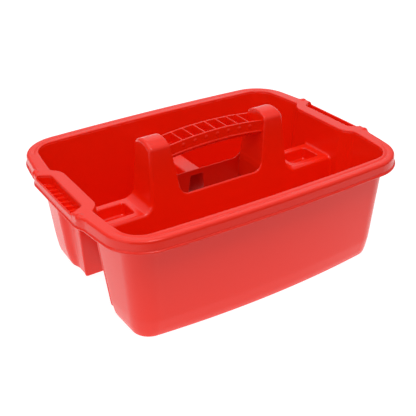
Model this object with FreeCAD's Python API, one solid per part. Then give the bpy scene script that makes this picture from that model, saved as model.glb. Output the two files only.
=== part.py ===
import FreeCAD, Part
import math
import os

# Cleaning caddy: one thin-walled polypropylene moulding with a front compartment, two rear
# compartments, a hollow centre ridge with a fixed handle, and a rolled rim with end grips.
# X runs along the length, Y from front to rear, Z up; the origin is under the middle of the rim.

V = FreeCAD.Vector

# ---- driving dimensions, mm ----
LENGTH, WIDTH, HEIGHT = 410.0, 312.0, 181.0
WALL = 2.5
RIM_Z = HEIGHT - 39.0
END_X = LENGTH / 2
REACH = 40.0                      # how far cutting solids run past what they cut
FAR = LENGTH                      # half size of a block larger than the whole part
HIGH_Z = HEIGHT + REACH           # level the walls are carried up to before they are cut

# rim
LIP_OUT, LIP_HIGH = 1.5, 2.6
RIM_HALF_X, RIM_HALF_Y = END_X - 3.1, WIDTH / 2 - LIP_OUT
RIM_BOW_X, RIM_BOW_Y, RIM_CORNER = 7.7, 4.0, 51.0
RIM_THICK = 2.5
SKIRT = 15.0                      # height of the rim's skirt, top face to bottom edge
RIM_ROUND = 3.0
GROOVE_IN, GROOVE_WIDE, GROOVE_DEEP = 8.0, 1.6, 0.5
GROOVE_FROM_Y = 112.0             # the groove runs only along the two long sides

# body outline, outer face: half length, half width, bow of the ends, bow of the sides, corner radius
TOP_HALF_X, TOP_HALF_Y, TOP_BOW_X, TOP_BOW_Y, TOP_CORNER = END_X - 17.9, RIM_HALF_Y - 14.9, 7.7, 4.0, 29.4
KNEE_Z, KNEE_HALF_X, KNEE_HALF_Y, KNEE_BOW_X, KNEE_BOW_Y = 25.0, TOP_HALF_X - 11.6, TOP_HALF_Y - 3.6, 4.5, 6.5
TOE_Z, TOE_HALF_X, TOE_HALF_Y, TOE_BOW_X, TOE_BOW_Y = 8.0, TOP_HALF_X - 15.1, TOP_HALF_Y - 5.8, 3.0, 8.0
FOOT_HALF_X, FOOT_HALF_Y, FOOT_BOW_X, FOOT_BOW_Y = TOP_HALF_X - 18.6, TOP_HALF_Y - 8.8, 2.0, 8.7
KNEE_CORNER, TOE_CORNER, FOOT_CORNER = 30.0, 27.0, 21.5

# finger recess in each end wall, outer face: depth line and half width at the top and at the floor
RECESS_TOP_X, RECESS_FLOOR_X = TOP_HALF_X - 12.6, FOOT_HALF_X - 4.0
RECESS_TOP_Y, RECESS_FLOOR_Y = 49.0, 56.0
RECESS_SLANT = 0.75               # sideways run of the recess sides per mm of depth
RECESS_RADIUS = 6.0

# centre ridge and posts
RIDGE_Y = -6.0
SHELF_Z = HEIGHT - 81.0
OPEN_Z = SHELF_Z + 10.5           # top of the ridge walls between the posts
DRAFT = 0.11                      # sideways run per mm of height
SHOULDER_Z, SHOULDER_HALF = HEIGHT - 11.0, 19.0
CROWN_RADIUS, BROW_RADIUS = 30.0, 6.0      # post tops: flat crown, rounder shoulders
POST_IN_LOW = 57.0
POST_IN_HIGH = POST_IN_LOW + 8.5
POST_OUT_LOW, POST_OUT_HIGH = POST_IN_LOW + 41.0, POST_IN_HIGH + 28.5
OPEN_RADIUS, FLARE_RADIUS = 10.0, 12.0
EDGE_ROUND, INNER_ROUND = 4.5, 2.2
WEB_LOW_Z = SHELF_Z - 16.0        # how far the posts' inner faces run down inside the ridge
JOIN_Z = SHELF_Z - 10.0           # level where the compartments' walls become the ridge
POST_JOIN_Z = SHELF_Z + 24.0

# cross wall
CROSS_X = -7.0
CROSS_Z = SHELF_Z + 5.0
CROSS_HALF_TOP = 11.0
CROSS_ROUND = 2.5

# pockets in the ridge
POCKET_FAR_X = END_X - 47.5
POCKET_NEAR_X = POCKET_FAR_X - 42.0
POCKET_HALF_Y = 14.5
POCKET_DEEP = 15.0
POCKET_DRAFT = 0.09
POCKET_CORNER = 4.0
POCKET_WALL = 2.0

# grip
GRIP_HALF = 15.0
GRIP_WALL = 2.0
GRIP_TOP_MID, GRIP_TOP_END = HEIGHT - 4.0, HEIGHT - 8.5
PANEL_HIGH = 14.0
BELLY_HIGH, BELLY_IN = 5.5, 3.0
GRIP_LIP = 1.0
RIB_COUNT, RIB_PITCH, RIB_THICK = 7, 15.6, 1.6
RIB_DROP = 0.6

# end grips
INNER_EDGE_X = RECESS_TOP_X - WALL
EAR_Y, EAR_RAMP, EAR_FALL = 62.0, 8.0, 6.5    # half width, then how far the slope beyond it runs and falls
TROUGH_Y = 2.0
TROUGH_IN_X = END_X - 17.4
TROUGH_HALF_IN, TROUGH_HALF_OUT = 43.5, 50.0
TROUGH_LIP_DROP = 4.0             # how much lower the trough's outer wall stands than the rim
GRIP_PART_Y = 76.0                # where the end grips end and the plain rim begins
FIN_COUNT, FIN_PITCH, FIN_THICK = 7, 11.3, 1.5
FIN_DROP_IN, FIN_DROP_OUT = 10.5, 7.5


# ---- helpers ----
def arc(a, b, c):
    return Part.Arc(a, b, c).toShape()


def outline(half_x, half_y, bow_x, bow_y, radius, z):
    """Closed wire of eight arcs: four bowed sides and four tangent corners."""
    chord_x = half_y - radius
    chord_y = half_x - radius
    end_r = (chord_x ** 2 + bow_x ** 2) / (2 * bow_x)
    side_r = (chord_y ** 2 + bow_y ** 2) / (2 * bow_y)
    end_cx = half_x - end_r
    side_cy = half_y - side_r
    # the corner's centre is where circles about the two side centres meet
    reach_end = end_r - radius
    reach_side = side_r - radius
    gap = math.hypot(end_cx, side_cy)
    along = (reach_end ** 2 - reach_side ** 2 + gap ** 2) / (2 * gap)
    off = math.sqrt(reach_end ** 2 - along ** 2)
    ux, uy = -end_cx / gap, side_cy / gap
    mid_x, mid_y = end_cx + along * ux, along * uy
    cx, cy = mid_x - off * uy, mid_y + off * ux
    if cx < 0 or cy < 0:
        cx, cy = mid_x + off * uy, mid_y - off * ux
    end_angle = math.atan2(cy, cx - end_cx)
    side_angle = math.atan2(cy - side_cy, cx)
    tan_end = (cx + radius * math.cos(end_angle), cy + radius * math.sin(end_angle))
    tan_side = (cx + radius * math.cos(side_angle), cy + radius * math.sin(side_angle))
    half_angle = (end_angle + side_angle) / 2
    knuckle = (cx + radius * math.cos(half_angle), cy + radius * math.sin(half_angle))
    edges = []
    for sx, sy in ((1, 1), (-1, 1), (-1, -1), (1, -1)):
        ends = [V(sx * p[0], sy * p[1], z) for p in (tan_end, knuckle, tan_side)]
        if sx * sy < 0:
            ends.reverse()
        edges.append(arc(*ends))
        first_side = V(-sx * tan_side[0], sy * tan_side[1], z)
        first_end = V(sx * tan_end[0], -sy * tan_end[1], z)
        if sx * sy > 0:
            edges.append(arc(ends[2], V(0, sy * half_y, z), first_side))
        else:
            edges.append(arc(ends[2], V(sx * half_x, 0, z), first_end))
    return Part.Wire(edges)


def rounded(points, radii, closed=True):
    """Wire through points with a tangent arc of the given radius at each one (0 leaves it sharp)."""
    count = len(points)
    starts, ends, mids = [], [], []
    for i, p in enumerate(points):
        a = (points[i - 1] - p).normalize()
        b = (points[(i + 1) % count] - p).normalize()
        if radii[i] == 0:
            starts.append(p)
            ends.append(p)
            mids.append(None)
            continue
        half = a.getAngle(b) / 2
        back = radii[i] / math.tan(half)
        starts.append(p + a * back)
        ends.append(p + b * back)
        bisector = (a + b).normalize()
        mids.append(p + bisector * (radii[i] / math.sin(half) - radii[i]))
    edges = []
    for i in range(count):
        if mids[i] is not None:
            edges.append(arc(starts[i], mids[i], ends[i]))
        following = starts[(i + 1) % count]
        if (following - ends[i]).Length > 1e-6:
            edges.append(Part.LineSegment(ends[i], following).toShape())
    return Part.Wire(edges)


def loft(wires):
    return Part.makeLoft(wires, True, True)


def extrude(wire, direction):
    return Part.Face(wire).extrude(direction)


def box(x0, x1, y0, y1, z0, z1):
    return Part.makeBox(x1 - x0, y1 - y0, z1 - z0, V(x0, y0, z0))


def mirror_x(shape):
    return shape.mirror(V(0, 0, 0), V(1, 0, 0))


# ---- the open box: outer face, and the same face moved in by the wall ----
def recess(inset):
    """Finger recesses beyond both end walls; inset deepens them, to make the inner face."""
    slope_x = (RECESS_TOP_X - RECESS_FLOOR_X) / RIM_Z
    slope_y = (RECESS_TOP_Y - RECESS_FLOOR_Y) / RIM_Z
    wires = []
    for z in (-REACH, HIGH_Z):
        x = RECESS_FLOOR_X + slope_x * z - inset
        y = RECESS_FLOOR_Y + slope_y * z + inset * RECESS_SLANT
        far = REACH + inset
        flank = y + far * RECESS_SLANT
        corners = [V(x, -y, z), V(x + far, -flank, z), V(x + far, flank, z), V(x, y, z)]
        wires.append(rounded(corners, [RECESS_RADIUS, 0, 0, RECESS_RADIUS]))
    cut = loft(wires)
    return [cut, mirror_x(cut)]


def body(inset, floor_z, top_z):
    """Solid inside the outline, inset from the outer face, recesses taken out, cut level below and above."""
    foot = (FOOT_HALF_X, FOOT_HALF_Y, FOOT_BOW_X, FOOT_BOW_Y, FOOT_CORNER)
    top = (TOP_HALF_X, TOP_HALF_Y, TOP_BOW_X, TOP_BOW_Y, TOP_CORNER)
    levels = (
        (-REACH, foot),
        (inset, foot),
        (TOE_Z, (TOE_HALF_X, TOE_HALF_Y, TOE_BOW_X, TOE_BOW_Y, TOE_CORNER)),
        (KNEE_Z, (KNEE_HALF_X, KNEE_HALF_Y, KNEE_BOW_X, KNEE_BOW_Y, KNEE_CORNER)),
        (RIM_Z, top),
        (HIGH_Z, top),
    )
    wires = []
    for z, (half_x, half_y, bow_x, bow_y, corner) in levels:
        wires.append(outline(half_x - inset, half_y - inset, bow_x, bow_y, corner - inset, z))
    return loft(wires).cut(recess(inset)).common(box(-FAR, FAR, -FAR, FAR, floor_z, top_z))


# ---- centre ridge with its posts ----
def ridge_half(z):
    return SHOULDER_HALF + (SHOULDER_Z - z) * DRAFT


def ridge_section(inset):
    """Section across the ridge, run along X: drafted sides, round brows and a flatter crown."""
    slope = math.atan(DRAFT)
    crown_z = HEIGHT - CROWN_RADIUS
    across = ridge_half(crown_z) * math.cos(slope) - BROW_RADIUS
    reach = CROWN_RADIUS - BROW_RADIUS
    along = math.sqrt(reach ** 2 - across ** 2)
    brow_y = across * math.cos(slope) - along * math.sin(slope)
    brow_z = crown_z + across * math.sin(slope) + along * math.cos(slope)
    rise = math.atan2(brow_z - crown_z, brow_y)
    bend = (slope + rise) / 2
    brow = BROW_RADIUS - inset
    crown = CROWN_RADIUS - inset
    side = (brow_y + brow * math.cos(slope), brow_z + brow * math.sin(slope))
    mid = (brow_y + brow * math.cos(bend), brow_z + brow * math.sin(bend))
    top = (crown * math.cos(rise), crown_z + crown * math.sin(rise))
    low_z = -REACH
    low = (side[0] + (side[1] - low_z) * DRAFT, low_z)
    x = -TOP_HALF_X - REACH
    right = [V(x, RIDGE_Y + y, z) for y, z in (low, side, mid, top)]
    left = [V(x, RIDGE_Y - y, z) for y, z in (low, side, mid, top)]
    edges = [
        Part.LineSegment(left[0], left[1]).toShape(),
        arc(left[1], left[2], left[3]),
        arc(left[3], V(x, RIDGE_Y, crown_z + crown), right[3]),
        arc(right[3], right[2], right[1]),
        Part.LineSegment(right[1], right[0]).toShape(),
        Part.LineSegment(right[0], left[0]).toShape(),
    ]
    return extrude(Part.Wire(edges), V(-2 * x, 0, 0))


def post_face(low_x, high_x, low_z, z):
    """X of a post's inner or outer face at height z."""
    return low_x + (high_x - low_x) * (z - low_z) / (SHOULDER_Z - low_z)


def side_profile(half):
    """Face of the XZ outline given by its right half, run through the whole ridge along Y."""
    right = [(V(x, -FAR, z), r) for x, z, r in half]
    left = [(V(-x, -FAR, z), r) for x, z, r in reversed(half)]
    both = left + right
    return extrude(rounded([p for p, r in both], [r for p, r in both]), V(0, 2 * FAR, 0))


def slab_edges(shape, near_opening):
    """Edges of the ridge's long faces and post tops, on the opening's side of the posts or outside."""
    found = []
    for edge in shape.Edges:
        middle = (edge.FirstParameter + edge.LastParameter) / 2
        mid = edge.valueAt(middle)
        seam = mid.z > OPEN_Z + 1 and abs(edge.tangentAt(middle).x) > 0.99
        if mid.z < SHELF_Z - 1 or abs(mid.x) > TOP_HALF_X or seam:
            continue
        on_side = abs(abs(mid.y - RIDGE_Y) - ridge_half(mid.z)) < 0.01
        on_cap = mid.z > SHOULDER_Z
        inside = abs(mid.x) < (POST_IN_HIGH + POST_OUT_HIGH) / 2
        if (on_side or on_cap) and inside == near_opening:
            found.append(edge)
    return found


def ridge_outer():
    """Ridge and posts as one drafted slab, with its edges rounded."""
    far = TOP_HALF_X + REACH
    above = HEIGHT + REACH
    slab = side_profile([
        (POST_IN_LOW, OPEN_Z, OPEN_RADIUS),
        (post_face(POST_IN_LOW, POST_IN_HIGH, OPEN_Z, above), above, 0),
        (post_face(POST_OUT_LOW, POST_OUT_HIGH, SHELF_Z, above), above, 0),
        (POST_OUT_LOW, SHELF_Z, FLARE_RADIUS),
        (far, SHELF_Z, 0),
        (far, -REACH, 0),
    ])
    shape = slab.common(ridge_section(0))
    shape = shape.makeFillet(EDGE_ROUND, slab_edges(shape, False))
    return shape.makeFillet(INNER_ROUND, slab_edges(shape, True))


def ridge_hollow():
    """Space inside the ridge and posts, open below, and open above between the posts."""
    far = TOP_HALF_X + REACH
    above = HEIGHT + REACH
    in_low = POST_IN_LOW + WALL
    web_in = post_face(POST_IN_LOW, POST_IN_HIGH, OPEN_Z, above) + WALL
    web_out = post_face(POST_OUT_LOW, POST_OUT_HIGH, SHELF_Z, above) - WALL
    slab = side_profile([
        (POST_IN_LOW, OPEN_Z + OPEN_RADIUS, 0),
        (POST_IN_LOW, WEB_LOW_Z, 0),
        (in_low, WEB_LOW_Z, 0),
        (in_low, OPEN_Z, 0),
        (web_in, above, 0),
        (web_out, above, 0),
        (POST_OUT_LOW - WALL, SHELF_Z - WALL, FLARE_RADIUS + WALL),
        (far, SHELF_Z - WALL, 0),
        (far, -REACH, 0),
    ])
    return slab.common(ridge_section(WALL))


# ---- hollow cross wall ----
def cross_prism(inset):
    """Drafted wall from the ridge to the rear, top edges rounded."""
    top_z = CROSS_Z - inset
    half_top = CROSS_HALF_TOP - inset + inset * DRAFT
    low_z = -REACH
    half_low = half_top + (top_z - low_z) * DRAFT
    points = [
        V(CROSS_X - half_low, RIDGE_Y, low_z),
        V(CROSS_X - half_top, RIDGE_Y, top_z),
        V(CROSS_X + half_top, RIDGE_Y, top_z),
        V(CROSS_X + half_low, RIDGE_Y, low_z),
    ]
    return extrude(rounded(points, [0, CROSS_ROUND, CROSS_ROUND, 0]), V(0, TOP_HALF_Y * 2, 0))


# ---- pockets sunk in the ridge ----
def pocket_solid(grow):
    """Tapered box of one pocket; grow adds the tray's wall all round and below."""
    wires = []
    for above_shelf in (EDGE_ROUND, -POCKET_DEEP - grow):
        z = SHELF_Z + above_shelf
        shrink = -POCKET_DRAFT * max(above_shelf, -POCKET_DEEP)
        x0 = POCKET_NEAR_X + shrink - grow
        x1 = POCKET_FAR_X - shrink + grow
        y = POCKET_HALF_Y - shrink + grow
        front, rear = RIDGE_Y - y, RIDGE_Y + y
        corners = [V(x0, front, z), V(x1, front, z), V(x1, rear, z), V(x0, rear, z)]
        wires.append(rounded(corners, [POCKET_CORNER + grow] * 4))
    return loft(wires)


# ---- grip between the posts ----
def arch(half_y, drop_top, drop_low):
    """Slice of the arched grip: a band from drop_top to drop_low under its top line."""
    reach = (POST_IN_HIGH + POST_OUT_HIGH) / 2
    rise = GRIP_TOP_MID - GRIP_TOP_END
    radius = (POST_IN_HIGH ** 2 + rise ** 2) / (2 * rise)
    end_drop = radius - math.sqrt(radius ** 2 - reach ** 2)
    y = RIDGE_Y - half_y
    corners = []
    for drop in (drop_top, drop_low):
        mid_z = GRIP_TOP_MID - drop
        end_z = mid_z - end_drop
        corners.append((V(-reach, y, end_z), V(0, y, mid_z), V(reach, y, end_z)))
    top, low = corners
    edges = [
        arc(*top),
        Part.LineSegment(top[2], low[2]).toShape(),
        arc(low[2], low[1], low[0]),
        Part.LineSegment(low[0], top[0]).toShape(),
    ]
    return extrude(Part.Wire(edges), V(0, 2 * half_y, 0))


def grip_outer():
    panel = arch(GRIP_HALF, 0, PANEL_HIGH)
    lip = arch(GRIP_HALF + GRIP_LIP, PANEL_HIGH - GRIP_LIP, PANEL_HIGH + GRIP_LIP)
    belly = arch(GRIP_HALF - BELLY_IN, PANEL_HIGH, PANEL_HIGH + BELLY_HIGH)
    return panel.fuse([lip, belly])


def grip_cavity(drop):
    """Space inside the grip channel, from drop under its top line down to its floor."""
    wide = arch(GRIP_HALF - GRIP_WALL, drop, PANEL_HIGH - GRIP_WALL)
    narrow = arch(GRIP_HALF - BELLY_IN - GRIP_WALL, PANEL_HIGH / 2, PANEL_HIGH + BELLY_HIGH - GRIP_WALL)
    return wide.fuse(narrow)


# ---- rim and end grips ----
def rim_ring(z0, z1, outset):
    """Solid of the rim's outline from z0 to z1."""
    wire = outline(RIM_HALF_X + outset, RIM_HALF_Y + outset, RIM_BOW_X, RIM_BOW_Y, RIM_CORNER + outset, z0)
    return extrude(wire, V(0, 0, z1 - z0))


def edges_at(shape, z):
    return [e for e in shape.Edges if abs(e.BoundBox.ZMin - z) < 1e-4 and abs(e.BoundBox.ZMax - z) < 1e-4]


def both_ends(shape):
    return [shape, mirror_x(shape)]


def bulge(z0, z1, outset):
    """Solid of an end grip's plan: straight across the ears, sloping back to the rim beyond them."""
    ramp_end = EAR_Y + EAR_RAMP
    rim_x = END_X - LIP_OUT - EAR_FALL + outset
    x = END_X - LIP_OUT + outset
    points = [
        V(rim_x, -ramp_end, z0),
        V(x, -EAR_Y, z0),
        V(x, EAR_Y, z0),
        V(rim_x, ramp_end, z0),
        V(INNER_EDGE_X, ramp_end, z0),
        V(INNER_EDGE_X, -ramp_end, z0),
    ]
    return extrude(rounded(points, [0, EAR_RAMP, EAR_RAMP, 0, 0, 0]), V(0, 0, z1 - z0))


def rim_block(z0, z1, outset):
    return rim_ring(z0, z1, outset).fuse(both_ends(bulge(z0, z1, outset))).removeSplitter()


def groove():
    """Narrow groove cut along the rim's flat top on the two long sides."""
    deep = RIM_Z - GROOVE_DEEP
    ring = rim_ring(deep, HIGH_Z, -GROOVE_IN).cut(rim_ring(deep, HIGH_Z, -GROOVE_IN - GROOVE_WIDE))
    return ring.cut(box(-FAR, FAR, -GROOVE_FROM_Y, GROOVE_FROM_Y, deep, HIGH_Z))


def trough_solid(grow, z0, z1):
    """Plan of the right end grip's trough, run from z0 to z1; grow adds its walls."""
    x0 = TROUGH_IN_X - grow
    x1 = END_X - LIP_OUT - WALL + grow
    y0 = TROUGH_HALF_IN + grow
    y1 = TROUGH_HALF_OUT + grow
    points = [
        V(x0, TROUGH_Y - y0, z0),
        V(x1, TROUGH_Y - y1, z0),
        V(x1, TROUGH_Y + y1, z0),
        V(x0, TROUGH_Y + y0, z0),
    ]
    return extrude(rounded(points, [WALL, 0, 0, WALL]), V(0, 0, z1 - z0))


def rim():
    """Whole rim: flat top, groove, rolled edge, skirt with a lip, and the two end grips."""
    low_z = RIM_Z - SKIRT
    under_z = RIM_Z - RIM_THICK
    block = rim_block(low_z, RIM_Z, 0)
    block = block.makeFillet(RIM_ROUND, edges_at(block, RIM_Z))
    block = block.fuse(rim_block(low_z, low_z + LIP_HIGH, LIP_OUT))
    block = block.cut(rim_block(low_z - REACH, under_z, -WALL))
    troughs = both_ends(trough_solid(WALL, low_z, under_z))
    block = block.fuse(troughs)
    block = block.cut(both_ends(trough_solid(0, low_z + WALL, HIGH_Z)))
    outer_x = END_X - LIP_OUT - WALL
    y0 = TROUGH_Y - TROUGH_HALF_OUT
    y1 = TROUGH_Y + TROUGH_HALF_OUT
    lowered = box(outer_x, FAR, y0, y1, RIM_Z - TROUGH_LIP_DROP, HIGH_Z)
    block = block.cut(both_ends(lowered) + [groove()])
    return block.cut(body(WALL, WALL, HIGH_Z))


def fin(index):
    """One fin across the right trough: its top slopes up towards the outer wall."""
    x0 = TROUGH_IN_X
    x1 = END_X - LIP_OUT - WALL
    y = TROUGH_Y + (index - (FIN_COUNT - 1) / 2) * FIN_PITCH - FIN_THICK / 2
    low_z = RIM_Z - SKIRT + WALL
    points = [
        V(x0, y, low_z),
        V(x1, y, low_z),
        V(x1, y, RIM_Z - FIN_DROP_OUT),
        V(x0, y, RIM_Z - FIN_DROP_IN),
    ]
    return extrude(rounded(points, [0] * 4), V(0, FIN_THICK, 0))


# ---- put together and divide ----
def save(shape, name):
    solids = shape.Solids
    out = solids[0] if len(solids) == 1 else Part.makeCompound(solids)
    print(name, len(solids), out.isValid(), round(out.Volume / 1000, 1))
    out.exportStep("parts/" + name + ".step")


os.makedirs("parts", exist_ok=True)

wall_top = RIM_Z - RIM_THICK

ridge_full = ridge_outer()
ridge_space = ridge_hollow()
cross_space = cross_prism(WALL).common(body(WALL, -WALL, wall_top))
inside = body(WALL, WALL, HIGH_Z)
shell = body(0, 0, wall_top).cut(inside)

ridge = ridge_full.common(body(0, 0, HIGH_Z)).cut([ridge_space, cross_space])
pocket_room = both_ends(pocket_solid(POCKET_WALL))
ridge_top = ridge.common(box(-FAR, FAR, -FAR, FAR, JOIN_Z, POST_JOIN_Z)).cut(pocket_room)
ridge_walls = ridge.common(box(-FAR, FAR, -FAR, FAR, 0, JOIN_Z))
posts = ridge.common(box(-FAR, FAR, -FAR, FAR, POST_JOIN_Z, FAR))

cross_full = cross_prism(0).common(body(WALL, 0, wall_top)).cut(ridge_full)
cross_wall = cross_full.cut(cross_space)
outer_walls = shell.cut([ridge_full, cross_prism(0).common(body(WALL, -WALL, wall_top))])
tubs = outer_walls.fuse(ridge_walls)

save(tubs.common(box(-FAR, FAR, -FAR, RIDGE_Y, 0, FAR)).removeSplitter(), "front_tub")
save(tubs.common(box(-FAR, CROSS_X, RIDGE_Y, FAR, 0, FAR)).removeSplitter(), "rear_left_tub")
save(tubs.common(box(CROSS_X, FAR, RIDGE_Y, FAR, 0, FAR)).removeSplitter(), "rear_right_tub")
save(cross_wall, "cross_wall")
save(ridge_top, "centre_ridge")
save(posts.common(box(-FAR, 0, -FAR, FAR, 0, FAR)), "left_post")
save(posts.common(box(0, FAR, -FAR, FAR, 0, FAR)), "right_post")

tray = pocket_solid(POCKET_WALL).cut(pocket_solid(0)).common(box(0, FAR, -FAR, FAR, 0, SHELF_Z))
save(mirror_x(tray), "left_pocket")
save(tray, "right_pocket")

grip = grip_outer().cut([grip_cavity(-REACH), ridge_full])
save(grip, "grip_channel")
cavity = grip_cavity(RIB_DROP)
for i in range(RIB_COUNT):
    x = (i - (RIB_COUNT - 1) / 2) * RIB_PITCH
    slice_box = box(x - RIB_THICK / 2, x + RIB_THICK / 2, -FAR, FAR, 0, FAR)
    save(cavity.common(slice_box), "grip_rib_" + str(i + 1))

whole_rim = rim()
save(whole_rim.common(box(-FAR, FAR, -FAR, -GRIP_PART_Y, 0, FAR)), "front_rim")
save(whole_rim.common(box(-FAR, FAR, GRIP_PART_Y, FAR, 0, FAR)), "rear_rim")
save(whole_rim.common(box(-FAR, 0, -GRIP_PART_Y, GRIP_PART_Y, 0, FAR)), "left_end_grip")
save(whole_rim.common(box(0, FAR, -GRIP_PART_Y, GRIP_PART_Y, 0, FAR)), "right_end_grip")
for i in range(FIN_COUNT):
    save(mirror_x(fin(i)), "left_fin_" + str(i + 1))
    save(fin(i), "right_fin_" + str(i + 1))
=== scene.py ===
import math
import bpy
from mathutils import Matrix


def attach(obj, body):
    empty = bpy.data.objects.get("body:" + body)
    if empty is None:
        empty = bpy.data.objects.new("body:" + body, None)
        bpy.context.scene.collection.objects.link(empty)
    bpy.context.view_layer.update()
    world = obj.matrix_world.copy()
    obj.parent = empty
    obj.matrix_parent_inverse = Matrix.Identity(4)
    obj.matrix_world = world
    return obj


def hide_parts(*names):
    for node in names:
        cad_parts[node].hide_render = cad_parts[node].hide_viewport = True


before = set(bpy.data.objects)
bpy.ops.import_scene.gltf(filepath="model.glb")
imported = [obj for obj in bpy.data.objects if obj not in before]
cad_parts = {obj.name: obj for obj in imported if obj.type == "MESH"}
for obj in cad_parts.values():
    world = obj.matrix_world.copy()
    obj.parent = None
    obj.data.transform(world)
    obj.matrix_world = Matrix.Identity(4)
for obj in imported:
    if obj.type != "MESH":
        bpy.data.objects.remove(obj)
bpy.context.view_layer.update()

from concurrent.futures import ThreadPoolExecutor

import bpy
import numpy as np
from mathutils import Matrix, Vector

MM = 0.001

# Studio: the caddy stands on a light table, a white translucent sheet lit from below except where
# the caddy covers it, so there is no shadow round it. It is seen from the front left and above
# with a portrait lens. Soft panels hang overhead, in front, behind and at the left, and the room
# grows darker from its ceiling down to eye level.
camera_data = bpy.data.cameras.new("camera")
camera_data.lens = 65.85
camera_data.sensor_width = 36.0
camera = bpy.data.objects.new("camera", camera_data)
bpy.context.scene.collection.objects.link(camera)
bpy.context.scene.camera = camera
camera_place = (-0.4451, -0.7216, 0.5380)
camera_back = Vector((-0.45524, -0.74258, 0.49126))
camera_right = Vector((0.85255, -0.52265, 0.0)).normalized()
camera_up = camera_back.cross(camera_right).normalized()
roll = math.radians(-1.34)
tilted_right = camera_right * math.cos(roll) + camera_up * math.sin(roll)
tilted_up = camera_up * math.cos(roll) - camera_right * math.sin(roll)
camera_axes = list(zip(tilted_right, tilted_up, camera_back, camera_place))
camera.matrix_world = Matrix(camera_axes + [(0.0, 0.0, 0.0, 1.0)])


def linear(hex_colour):
    """An sRGB hex colour as the linear RGBA that a shader socket takes."""
    parts = [int(hex_colour[i:i + 2], 16) / 255 for i in (1, 3, 5)]
    return [p / 12.92 if p <= 0.04045 else ((p + 0.055) / 1.055) ** 2.4 for p in parts] + [1.0]


def add_node(owner, kind, settings=None, **inputs):
    """Adds one node. Settings are its properties; an input is a socket's value, or a socket to link to it,
    under the socket's name or its number."""
    node = owner.node_tree.nodes.new(kind)
    for name, value in (settings or {}).items():
        setattr(node, name, value)
    for name, value in inputs.items():
        socket = node.inputs[int(name[1:]) if name[1:].isdigit() else name.replace("_", " ")]
        if isinstance(value, bpy.types.NodeSocket):
            owner.node_tree.links.new(value, socket)
        else:
            socket.default_value = value
    return node


def new_material(name):
    material = bpy.data.materials.new(name)
    material.use_nodes = True
    material.node_tree.nodes.clear()
    return material


lit_sheet = new_material("lit_sheet")
covered_half_size = (0.132, 0.105, 0.0)
covered_blur = 0.004
covered_glow, open_glow = 0.2, 0.94
sheet_place = add_node(lit_sheet, "ShaderNodeNewGeometry")
from_middle = add_node(
    lit_sheet, "ShaderNodeVectorMath", {"operation": "ABSOLUTE"}, _0=sheet_place.outputs["Position"])
past_cover = add_node(
    lit_sheet, "ShaderNodeVectorMath", {"operation": "SUBTRACT"},
    _0=from_middle.outputs["Vector"], _1=covered_half_size)
past_axes = add_node(lit_sheet, "ShaderNodeSeparateXYZ", _0=past_cover.outputs["Vector"])
past_edge = add_node(
    lit_sheet, "ShaderNodeMath", {"operation": "MAXIMUM"},
    _0=past_axes.outputs["X"], _1=past_axes.outputs["Y"])
sheet_glow = add_node(
    lit_sheet, "ShaderNodeMapRange", Value=past_edge.outputs["Value"],
    From_Min=-covered_blur, From_Max=covered_blur, To_Min=covered_glow, To_Max=open_glow)
sheet_shader = add_node(
    lit_sheet, "ShaderNodeBsdfPrincipled", Base_Color=linear("#808080"), Roughness=0.9,
    Emission_Color=linear("#FFFFFF"), Emission_Strength=sheet_glow.outputs["Result"])
add_node(lit_sheet, "ShaderNodeOutputMaterial", Surface=sheet_shader.outputs["BSDF"])
bpy.ops.mesh.primitive_plane_add(size=12.0, location=(0.0, 5.6, 0.0))
light_table = bpy.context.object
light_table.name = "light_table"
light_table.data.materials.append(lit_sheet)

world = bpy.data.worlds.new("white_room")
bpy.context.scene.world = world
world.use_nodes = True
sky_place = add_node(world, "ShaderNodeTexCoord")
sky_height = add_node(world, "ShaderNodeSeparateXYZ", _0=sky_place.outputs["Generated"])
sky_strength = add_node(
    world, "ShaderNodeMapRange", Value=sky_height.outputs["Z"], To_Min=0.18, To_Max=0.86)
sky = world.node_tree.nodes["Background"]
sky.inputs["Color"].default_value = linear("#FFFFFF")
world.node_tree.links.new(sky_strength.outputs["Result"], sky.inputs["Strength"])

caddy_middle = Vector((0.0, 0.0, 0.07))


def soft_panel(name, location, size, power):
    """Hangs a square soft light panel and aims it at the middle of the caddy."""
    data = bpy.data.lights.new(name, "AREA")
    data.shape = "SQUARE"
    data.size = size
    data.energy = power
    light = bpy.data.objects.new(name, data)
    bpy.context.scene.collection.objects.link(light)
    light.location = location
    light.rotation_euler = (Vector(location) - caddy_middle).to_track_quat("Z", "Y").to_euler()


soft_panel("overhead_panel", (-0.3, 0.2, 1.6), 1.4, 4.5)
soft_panel("front_panel", (-0.1, -0.8, 1.5), 0.5, 5.0)
soft_panel("rear_panel", (0.73, 1.19, 0.79), 1.2, 1.8)
soft_panel("left_panel", (-1.6, -0.3, 0.8), 1.0, 2.5)
bpy.context.scene.view_settings.view_transform = "Standard"


# Moulded polypropylene, coloured red right through: a dense, saturated colour with a waxy half
# gloss from the polished tool. The surface carries a very fine texture, and its gloss drifts
# slowly over wider spans, where the thin wall has shrunk from the tool as it cooled.
moulded_polypropylene = new_material("moulded_polypropylene")
wave_span = 0.055
grain_span = 0.0012
grain_depth = 0.0001
place = add_node(moulded_polypropylene, "ShaderNodeTexCoord")
shrink_waves = add_node(
    moulded_polypropylene, "ShaderNodeTexNoise", {"noise_dimensions": "3D", "normalize": False},
    Vector=place.outputs["Object"], Scale=1 / wave_span, Detail=0.0)
fine_texture = add_node(
    moulded_polypropylene, "ShaderNodeTexNoise", {"noise_dimensions": "3D"},
    Vector=place.outputs["Object"], Scale=1 / grain_span, Detail=2.0, Roughness=0.6)
texture_bump = add_node(
    moulded_polypropylene, "ShaderNodeBump",
    Strength=0.12, Distance=grain_depth, Height=fine_texture.outputs["Fac"])
gloss = add_node(
    moulded_polypropylene, "ShaderNodeMapRange",
    Value=shrink_waves.outputs["Fac"], From_Min=-1.0, To_Min=0.21, To_Max=0.27)
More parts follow.
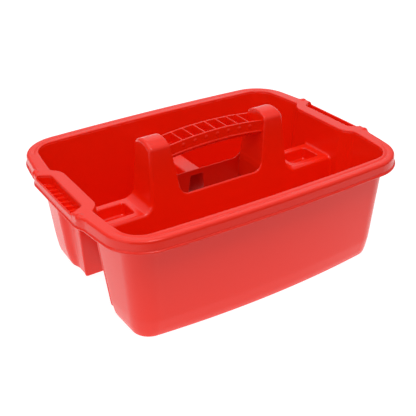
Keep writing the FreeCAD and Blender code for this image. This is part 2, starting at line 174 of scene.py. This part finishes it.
tint = add_node(
    moulded_polypropylene, "ShaderNodeMix", {"data_type": "RGBA"},
    _0=fine_texture.outputs["Fac"], _6=linear("#F61F03"), _7=linear("#F82304"))
plastic_shader = add_node(
    moulded_polypropylene, "ShaderNodeBsdfPrincipled",
    Base_Color=tint.outputs[2], Roughness=gloss.outputs["Result"], IOR=1.46,
    Normal=texture_bump.outputs["Normal"])
add_node(moulded_polypropylene, "ShaderNodeOutputMaterial", Surface=plastic_shader.outputs["BSDF"])


# The open box: walls and floor of one thickness, drawn in towards the foot, with a finger recess
# down the middle of each end. Injection moulded in polypropylene, so every wall leans a little
# and every corner is eased for the plastic to flow round it. From here on, sizes are in
# millimetres, and the box's sizes are given at four levels, from the floor up to the rim.
wall = 2.5
rim_top = 142.0
levels = (0.0, 8.0, 25.0, rim_top)
half_lengths = (168.5, 172.0, 175.5, 187.1)
half_widths = (130.8, 133.8, 136.0, 139.6)
end_bows = (2.0, 3.0, 4.5, 7.7)
side_bows = (8.7, 8.0, 6.5, 4.0)
corner_radii = (21.5, 27.0, 30.0, 29.4)
recess_floor_x, recess_floor_y = 164.5, 56.0
recess_top_x, recess_top_y = 174.5, 49.0
recess_slant = 0.75
recess_inner_round, recess_outer_round = 6.0, 5.0
foot_round = 3.0


def eased(z, sizes):
    """A size given at the box's levels, read at height z with the bends between levels eased."""
    shifts = (-3.0, -1.5, 0.0, 1.5, 3.0)
    return sum(np.interp(z + shift, levels, sizes) for shift in shifts) / len(shifts)


def rounded_edge(a, b, radius):
    """What lies within both shapes, their shared edge rounded over."""
    corner = np.hypot(np.maximum(radius + a, 0), np.maximum(radius + b, 0))
    return np.minimum(-radius, np.maximum(a, b)) + corner


def filleted(a, b, radius):
    """Both shapes joined, with a fillet along the inside corner."""
    corner = np.hypot(np.maximum(radius - a, 0), np.maximum(radius - b, 0))
    return np.maximum(radius, np.minimum(a, b)) - corner


def outline_gap(x, y, half_x, half_y, bow_x, bow_y, corner):
    """Distance in plan outside an outline of four bowed sides that run into four round corners."""
    x, y = np.abs(x), np.abs(y)
    end_radius = ((half_y - corner) ** 2 + bow_x ** 2) / (2 * bow_x)
    side_radius = ((half_x - corner) ** 2 + bow_y ** 2) / (2 * bow_y)
    end_centre, side_centre = half_x - end_radius, half_y - side_radius
    to_end, to_side = end_radius - corner, side_radius - corner
    apart = np.hypot(end_centre, side_centre)
    along = (to_end ** 2 - to_side ** 2 + apart ** 2) / (2 * apart)
    off = np.sqrt(to_end ** 2 - along ** 2)
    corner_x = end_centre - along * end_centre / apart + off * np.abs(side_centre) / apart
    corner_y = along * side_centre / apart + off * np.abs(end_centre) / apart
    across, up = x - corner_x, y - corner_y
    past_end = up * (corner_x - end_centre) - across * corner_y
    past_side = across * (corner_y - side_centre) - up * corner_x
    end_gap = np.hypot(x - end_centre, y) - end_radius
    side_gap = np.hypot(x, y - side_centre) - side_radius
    sides = np.maximum(end_gap, side_gap)
    return np.where((past_end > 0) & (past_side > 0), np.hypot(across, up) - corner, sides)


def box_gap(x, y, z):
    """Distance outside the box's outer faces, with the finger recesses sunk in its ends."""
    by_level = (half_lengths, half_widths, end_bows, side_bows, corner_radii)
    outline = outline_gap(x, y, *[eased(z, sizes).astype(np.float32) for sizes in by_level])
    deep_x = recess_floor_x + (recess_top_x - recess_floor_x) * z / rim_top
    wide_y = recess_floor_y + (recess_top_y - recess_floor_y) * z / rim_top
    back = deep_x - np.abs(x)
    flank = (np.abs(y) - wide_y + recess_slant * back) / math.hypot(1.0, recess_slant)
    return rounded_edge(outline, -rounded_edge(back, flank, recess_inner_round), recess_outer_round)


# Centre ridge with its two posts: hollow from below, as deep as the box, and open on top between
# the posts where the hand goes through. Its edges are sharp at that opening and full and soft
# along the shelves, and the posts flare into the shelf at each end.
ridge_y = -6.0
shelf_top, open_top, caddy_top = 100.0, 110.5, 181.0
shoulder = 170.0
draft = 0.11
lean = math.atan(draft)
shoulder_half = 19.0
crown_radius, brow_radius = 30.0, 6.0
crown_centre = caddy_top - crown_radius
brow_across = (shoulder_half + (shoulder - crown_centre) * draft) * math.cos(lean) - brow_radius
brow_along = math.sqrt((crown_radius - brow_radius) ** 2 - brow_across ** 2)
brow_y = brow_across * math.cos(lean) - brow_along * math.sin(lean)
brow_z = crown_centre + brow_across * math.sin(lean) + brow_along * math.cos(lean)
post_in, post_in_lean = 57.0, 8.5
post_out, post_out_lean = 98.0, 4.0
post_middle = 78.0
post_in_fillet, post_out_fillet = 10.0, 12.0
sharp_until, soft_from = 70.0, 84.0
sharp_edge, soft_edge = 2.2, 4.5
web_low = 84.0


def post_inner(z):
    """Where the post's inner face stands at height z."""
    return post_in + post_in_lean * (z - open_top) / (shoulder - open_top)


def ridge_flank(y, z):
    """Distance outside the ridge's two leaning faces."""
    return (np.abs(y - ridge_y) - shoulder_half - (shoulder - z) * draft) * math.cos(lean)


def ridge_gap(x, y, z):
    """Distance outside the ridge and posts taken as one solid."""
    x_out, y_out = np.abs(x), np.abs(y - ridge_y)
    crown = np.hypot(y_out, z - crown_centre) - crown_radius
    brow = np.hypot(y_out - brow_y, z - brow_z) - brow_radius
    under_crown = (y_out - brow_y) * (brow_z - crown_centre) > (z - brow_z) * brow_y
    above_flank = (z - brow_z) * math.cos(lean) > (y_out - brow_y) * math.sin(lean)
    section = np.where(above_flank, np.where(under_crown, brow, crown), ridge_flank(y, z))
    post_outer = x_out - post_out + post_out_lean * (z - shelf_top) / (shoulder - shelf_top)
    post = np.maximum(post_inner(z) - x_out, post_outer)
    inside = x_out < post_middle
    deck = z - np.where(inside, open_top, shelf_top)
    profile = filleted(deck, post, np.where(inside, post_in_fillet, post_out_fillet))
    edge = np.interp(x_out, (sharp_until, soft_from), (sharp_edge, soft_edge)).astype(np.float32)
    return rounded_edge(section, profile, edge)


def ridge_hollow(x, y, z):
    """The space under the ridge and inside the posts, open between the posts."""
    x_out = np.abs(x)
    web = np.maximum(np.maximum(post_in - x_out, x_out - post_in - wall), web_low - z)
    slot = np.maximum(x_out - post_inner(z), ridge_flank(y, z) + wall)
    return np.minimum(np.maximum(ridge_gap(x, y, z) + wall, -web), slot)


# Cross wall: a narrow hollow wall from the ridge to the back, which parts the two rear rooms.
# Its hollow runs on through the ridge's rear face, so a small window shows inside the opening.
cross_x, cross_top, cross_half = -7.0, 105.0, 11.0
cross_round = 2.5


def cross_gap(x, z):
    """Distance outside the wall's two leaning faces and its top."""
    side = (np.abs(x - cross_x) - cross_half - (cross_top - z) * draft) * math.cos(lean)
    return rounded_edge(side, z - cross_top, cross_round)


# Pockets: a small square tray sunk in the shelf at each end of the ridge. Its walls taper towards
# the floor so that it leaves the tool, and its brim is softly rounded.
pocket_x, pocket_half_x, pocket_half_y, pocket_floor = 136.5, 21.0, 14.5, 85.0
pocket_draft = 0.09
pocket_wall, pocket_sunk = 2.0, 1.0
pocket_corner, pocket_foot, pocket_brim = 4.0, 2.5, 1.5


def pocket_gap(x, y, z):
    """Distance outside a pocket's tapered room."""
    taper = pocket_draft * (shelf_top - z)
    sides = rounded_edge(
        np.abs(np.abs(x) - pocket_x) - pocket_half_x + taper,
        np.abs(y - ridge_y) - pocket_half_y + taper, pocket_corner)
    return rounded_edge(sides, pocket_floor - z, pocket_foot)


# Rim and end grips: the top edge rolls outward into a stiff flat rim with a skirt and a thin lip
# below it, and a faint groove along its long sides. At each end the rim widens into a grip: two
# ears with a finger trough between them, whose outer wall stands lower than the rim.
skirt, skirt_lean = 15.0, 0.04
rim_half_length, rim_half_width, rim_end_bow, rim_side_bow, rim_corner = 201.9, 154.5, 7.7, 4.0, 51.0
rim_round = 3.0
lip_out, lip_high, lip_round, lip_fillet = 1.5, 2.6, 1.0, 0.8
groove_in, groove_width, groove_depth = 9.5, 1.6, 0.5
groove_from_y, groove_full_y = 108.0, 118.0
grip_out = 205.0
ear_y, ear_ramp, ear_fall = 62.0, 8.0, 6.5
ear_round, ear_fillet = 4.0, 3.0
knob_x, knob_from_trough, knob_drop, knob_radius = 198.4, 62.5, 3.6, 5.0
knob_foot, knob_fillet = 6.0, 1.5
trough_y, trough_in, trough_half = 2.0, 187.6, 43.5
trough_flare, flare_cosine = 0.63, 0.85
trough_corner, trough_round = 2.5, 1.2
trough_out = grip_out - lip_out - wall
low_half, low_drop, low_overlap = 50.0, 4.0, 0.5


def trough_gap(x, y):
    """Distance outside a trough's room in plan."""
    x_out = np.abs(x)
    half = trough_half + (x_out - trough_in) * trough_flare
    sides = np.maximum(trough_in - x_out, x_out - trough_out)
    return rounded_edge(sides, (np.abs(y - trough_y) - half) * flare_cosine, trough_corner)


def rim_gap(x, y, z):
    """Distance outside the rim with its skirt, lip, groove, ears, knobs and troughs."""
    x_out, y_out, trough_along = np.abs(x), np.abs(y), np.abs(y - trough_y)
    skirt_foot = rim_top - skirt
    outline = outline_gap(x, y, rim_half_length, rim_half_width, rim_end_bow, rim_side_bow, rim_corner)
    past = x_out - grip_out + lip_out
    slope_off = (ear_ramp * past + ear_fall * (y_out - ear_y)) / math.hypot(ear_ramp, ear_fall)
    ear = rounded_edge(past, slope_off, ear_round)
    plan = filleted(outline, np.maximum(ear, y_out - ear_y - ear_ramp), ear_fillet)
    depth = np.interp(y_out, (groove_from_y, groove_full_y), (0.0, groove_depth)).astype(np.float32)
    groove = depth * np.exp(-((outline + groove_in) / groove_width) ** 2)
    leaning = plan + skirt_lean * (z - rim_top + skirt)
    block = rounded_edge(leaning, z - rim_top + groove, rim_round)
    lip_level = np.abs(z - rim_top + skirt - lip_high / 2) - lip_high / 2
    lip = rounded_edge(plan - lip_out, lip_level, lip_round)
    block = filleted(np.maximum(block, skirt_foot - z), lip, lip_fillet)
    under = np.maximum(leaning + wall, z - rim_top + wall)
    block = np.maximum(block, -under)
    trough = trough_gap(x, y)
    casing = np.maximum(np.maximum(trough - wall, skirt_foot - z), z - rim_top + wall)
    block = np.minimum(block, casing)
    block = rounded_edge(block, -np.maximum(trough, skirt_foot + wall - z), trough_round)
    beside_low = np.maximum(trough_out - low_overlap - x_out, trough_along - low_half)
    block = rounded_edge(block, -np.maximum(beside_low, rim_top - low_drop - z), trough_round)
    knob_across, knob_along = x_out - knob_x, trough_along - knob_from_trough
    knob_up = z - rim_top + knob_drop
    knob = np.sqrt(knob_across ** 2 + knob_along ** 2 + knob_up ** 2) - knob_radius
    return filleted(block, np.maximum(knob, rim_top - knob_foot - z), knob_fillet)


# The moulding: box, ridge, cross wall, pockets and rim flow into one piece. Its inside corners are
# filleted, and the edges of its hollows are eased, less from the shelves up than lower down.
inner_fillet, ridge_end_round = 3.0, 0.5
hollow_low, hollow_high = 84.0, 100.0
hollow_low_edge, hollow_high_edge = 2.2, 0.9
rim_inner_round, rim_fillet = 1.8, 1.0


def moulding_gap(x, y, z):
    """Distance outside the whole moulding: walls, floor, ridge, cross wall, pockets and rim."""
    outer = box_gap(x, y, z)
    standing = rounded_edge(outer, -z, foot_round)
    shell = np.maximum(np.maximum(standing, -standing - wall), z - rim_top + wall)
    ridge = rounded_edge(standing, ridge_gap(x, y, z), ridge_end_round)
    cross_faces = cross_gap(x, z)
    cross = np.maximum(np.maximum(cross_faces, standing), ridge_y - y)
    solid = filleted(shell, filleted(ridge, cross, inner_fillet), inner_fillet)
    cross_hollow = np.maximum(np.maximum(cross_faces + wall, outer + wall), ridge_y - y)
    hollow_edges = (hollow_low_edge, hollow_high_edge)
    hollow_edge = np.interp(z, (hollow_low, hollow_high), hollow_edges).astype(np.float32)
    solid = rounded_edge(solid, -np.minimum(ridge_hollow(x, y, z), cross_hollow), hollow_edge)
    pocket = pocket_gap(x, y, z)
    solid = np.minimum(solid, np.maximum(pocket - pocket_wall, z - shelf_top + pocket_sunk))
    solid = rounded_edge(solid, -pocket, pocket_brim)
    rim = rounded_edge(rim_gap(x, y, z), -outer - wall, rim_inner_round)
    return filleted(solid, rim, rim_fillet)


def draw_skin(name, gap, low, high, step, faces):
    """Lays a closed mesh over a shape given by its distance: one point in each cell that the skin passes
    through, drawn on to the skin, then thinned to the count of triangles, with the shape's own normals."""
    threads, layers = 4, 4
    axes = [np.arange(a, b + step, step, dtype=np.float32) for a, b in zip(low, high)]
    field = np.empty([len(a) for a in axes], np.float32)

    def fill(start):
        """Works out the distances in a few layers of cells."""
        z = axes[2][start:start + layers]
        x, y = axes[0][:, None, None], axes[1][None, :, None]
        field[:, :, start:start + layers] = gap(x, y, z[None, None, :])

    with ThreadPoolExecutor(threads) as workers:
        list(workers.map(fill, range(0, len(axes[2]), layers)))
    inside = field < 0
    nx, ny, nz = (n - 1 for n in field.shape)
    corners = [(i, j, k) for i in (0, 1) for j in (0, 1) for k in (0, 1)]
    full = sum(inside[i:i + nx, j:j + ny, k:k + nz].astype(np.uint8) for i, j, k in corners)
    cell = np.argwhere((full > 0) & (full < 8))
    number = np.full((nx, ny, nz), -1, np.int32)
    number[tuple(cell.T)] = np.arange(len(cell))
    value = [field[cell[:, 0] + i, cell[:, 1] + j, cell[:, 2] + k] for i, j, k in corners]
    total = np.zeros((len(cell), 3), np.float32)
    count = np.zeros(len(cell), np.float32)
    for a in range(8):
        for b in range(a + 1, 8):
            across = np.array(corners[b]) - corners[a]
            if np.abs(across).sum() != 1:
                continue
            crossed = (value[a] < 0) != (value[b] < 0)
            share = np.where(crossed, value[a] / np.where(crossed, value[a] - value[b], 1.0), 0.0)
            total += crossed[:, None] * (np.array(corners[a]) + share[:, None] * across)
            count += crossed
    points = (cell + total / count[:, None]) * step + np.array(low)

    quads = []
    for axis in range(3):
        head = [slice(None)] * 3
        tail = [slice(None)] * 3
        head[axis], tail[axis] = slice(0, -1), slice(1, None)
        starts, ends = inside[tuple(head)], inside[tuple(tail)]
        edge = np.argwhere(starts != ends)
        leaving = starts[tuple(edge.T)]
        side_a, side_b = [i for i in range(3) if i != axis]
        ring = []
        for back_a, back_b in ((1, 1), (0, 1), (0, 0), (1, 0)):
            at = edge.copy()
            at[:, side_a] -= back_a
            at[:, side_b] -= back_b
            ring.append(number[tuple(at.T)])
        ring = np.stack(ring, 1)
        flip = leaving if axis == 1 else ~leaving
        ring[flip] = ring[flip][:, ::-1]
        quads.append(ring)
    quads = np.concatenate(quads)

    def slope(at):
        """Unit direction straight out of the skin at each point."""
        reach = 0.35
        out = np.empty_like(at)
        for i in range(3):
            shift = np.zeros(3)
            shift[i] = reach
            out[:, i] = gap(*(at + shift).T) - gap(*(at - shift).T)
        return out / np.maximum(np.linalg.norm(out, axis=1, keepdims=True), 1e-6)

    points = points - slope(points) * np.clip(gap(*points.T), -step / 2, step / 2)[:, None]
    points[:, 2] = np.clip(points[:, 2], 0.0, caddy_top)
    mesh = bpy.data.meshes.new(name)
    mesh.vertices.add(len(points))
    mesh.vertices.foreach_set("co", (points * MM).astype(np.float32).ravel())
    mesh.loops.add(len(quads) * 4)
    mesh.loops.foreach_set("vertex_index", quads.astype(np.int32).ravel())
    mesh.polygons.add(len(quads))
    mesh.polygons.foreach_set("loop_start", np.arange(0, len(quads) * 4, 4, dtype=np.int32))
    mesh.update(calc_edges=True)
    mesh.validate()
    piece = bpy.data.objects.new(name, mesh)
    bpy.context.scene.collection.objects.link(piece)
    if faces < 2 * len(quads):
        thin = piece.modifiers.new("thin", "DECIMATE")
        thin.ratio = faces / (2 * len(quads))
        finished = piece.evaluated_get(bpy.context.evaluated_depsgraph_get())
        thinned = bpy.data.meshes.new_from_object(finished)
        piece.modifiers.remove(thin)
        piece.data = thinned
        thinned.name = name
        bpy.data.meshes.remove(mesh)
        mesh = thinned
    at = np.empty(len(mesh.vertices) * 3, np.float32)
    mesh.vertices.foreach_get("co", at)
    at = at.reshape(-1, 3) / MM
    mesh.shade_smooth()
    mesh.normals_split_custom_set_from_vertices(slope(at.astype(np.float64)).tolist())
    return piece


moulding_low, moulding_high = (-207.5, -158.5, -2.5), (207.5, 158.5, 183.0)
moulding_step = 1.25
moulding_faces = 190000
moulding = draw_skin(
    "caddy_moulding", moulding_gap, moulding_low, moulding_high, moulding_step, moulding_faces)
moulding.data.materials.append(moulded_polypropylene)
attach(moulding, "root")
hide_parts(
    "front_tub", "rear_left_tub", "rear_right_tub", "cross_wall", "centre_ridge",
    "left_post", "right_post", "left_pocket", "right_pocket", "front_rim", "rear_rim",
    "left_end_grip", "right_end_grip")


# Grip: a channel arched between the posts, open on top and stiffened by seven webs, with a narrow
# strip along the foot of its side panels and a slimmer belly below. A low round stud on each panel
# at each web keeps the hand from slipping.
grip_top, grip_rise, grip_half = 177.0, 4.5, 15.0
grip_reach = post_in + post_in_lean
arch_radius = (grip_reach ** 2 + grip_rise ** 2) / (2 * grip_rise)
panel_high, panel_wall, panel_round = 14.0, 2.0, 0.8
strip_half, strip_round = 1.0, 0.6
belly_high, belly_in, belly_wall, belly_round = 19.5, 3.0, 2.0, 1.5
belly_room_in = belly_in + belly_wall
web_count = 7
web_pitch, web_half, web_drop, web_round = 15.6, 0.8, 0.6, 0.5
stud_drop, stud_radius, stud_sunk, stud_foot = 6.0, 4.5, 3.6, 1.5
grip_fillet, grip_into_post = 0.8, 1.0


def grip_gap(x, y, z):
    """Distance outside the grip: panels, strip and belly, hollowed from above, then webs and studs."""
    under = grip_top - arch_radius + np.sqrt(arch_radius ** 2 - x ** 2) - z
    out = np.abs(y - ridge_y)
    panel = rounded_edge(out - grip_half, np.maximum(-under, under - panel_high), panel_round)
    strip = rounded_edge(out - grip_half - strip_half, np.abs(under - panel_high) - strip_half, strip_round)
    belly_sides = np.maximum(out - grip_half + belly_in, panel_high - panel_wall - under)
    belly = rounded_edge(belly_sides, under - belly_high, belly_round)
    solid = filleted(np.minimum(panel, strip), belly, grip_fillet)
    wide = np.maximum(out - grip_half + panel_wall, under - panel_high + panel_wall)
    narrow = np.maximum(out - grip_half + belly_room_in, under - belly_high + belly_wall)
    solid = rounded_edge(solid, -np.minimum(wide, narrow), strip_round)
    last_web = web_count // 2
    from_web = x - web_pitch * np.clip(np.round(x / web_pitch), -last_web, last_web)
    web = rounded_edge(np.abs(from_web) - web_half, web_drop - under, web_round)
    web = np.maximum(web, np.maximum(out - grip_half + panel_wall / 2, under - belly_high + belly_wall / 2))
    solid = filleted(solid, web, grip_fillet)
    stud_up, stud_out = under - stud_drop, out - grip_half + stud_sunk
    stud = np.sqrt(from_web ** 2 + stud_up ** 2 + stud_out ** 2) - stud_radius
    solid = np.minimum(solid, np.maximum(stud, grip_half - stud_foot - out))
    return np.maximum(solid, np.abs(x) - post_inner(z) - grip_into_post)


grip_low, grip_high = (-70.0, -24.0, 146.0), (70.0, 12.0, 180.0)
grip_step = 0.6
grip_faces = 90000
grip = draw_skin("grip", grip_gap, grip_low, grip_high, grip_step, grip_faces)
grip.data.materials.append(moulded_polypropylene)
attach(grip, "root")
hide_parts("grip_channel", *["grip_rib_%d" % (i + 1) for i in range(web_count)])


# Fins: seven thin webs stand across each trough so that fingers find a hold. Their edges come out
# of the tool slightly eased. Every node of the caddy is of the same plastic.
fin_edge = 0.4 * MM
for name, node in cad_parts.items():
    node.data.materials.clear()
    node.data.materials.append(moulded_polypropylene)
    if "_fin_" in name:
        eased_edge = node.modifiers.new("eased_edge", "BEVEL")
        eased_edge.width = fin_edge
        eased_edge.segments = 2
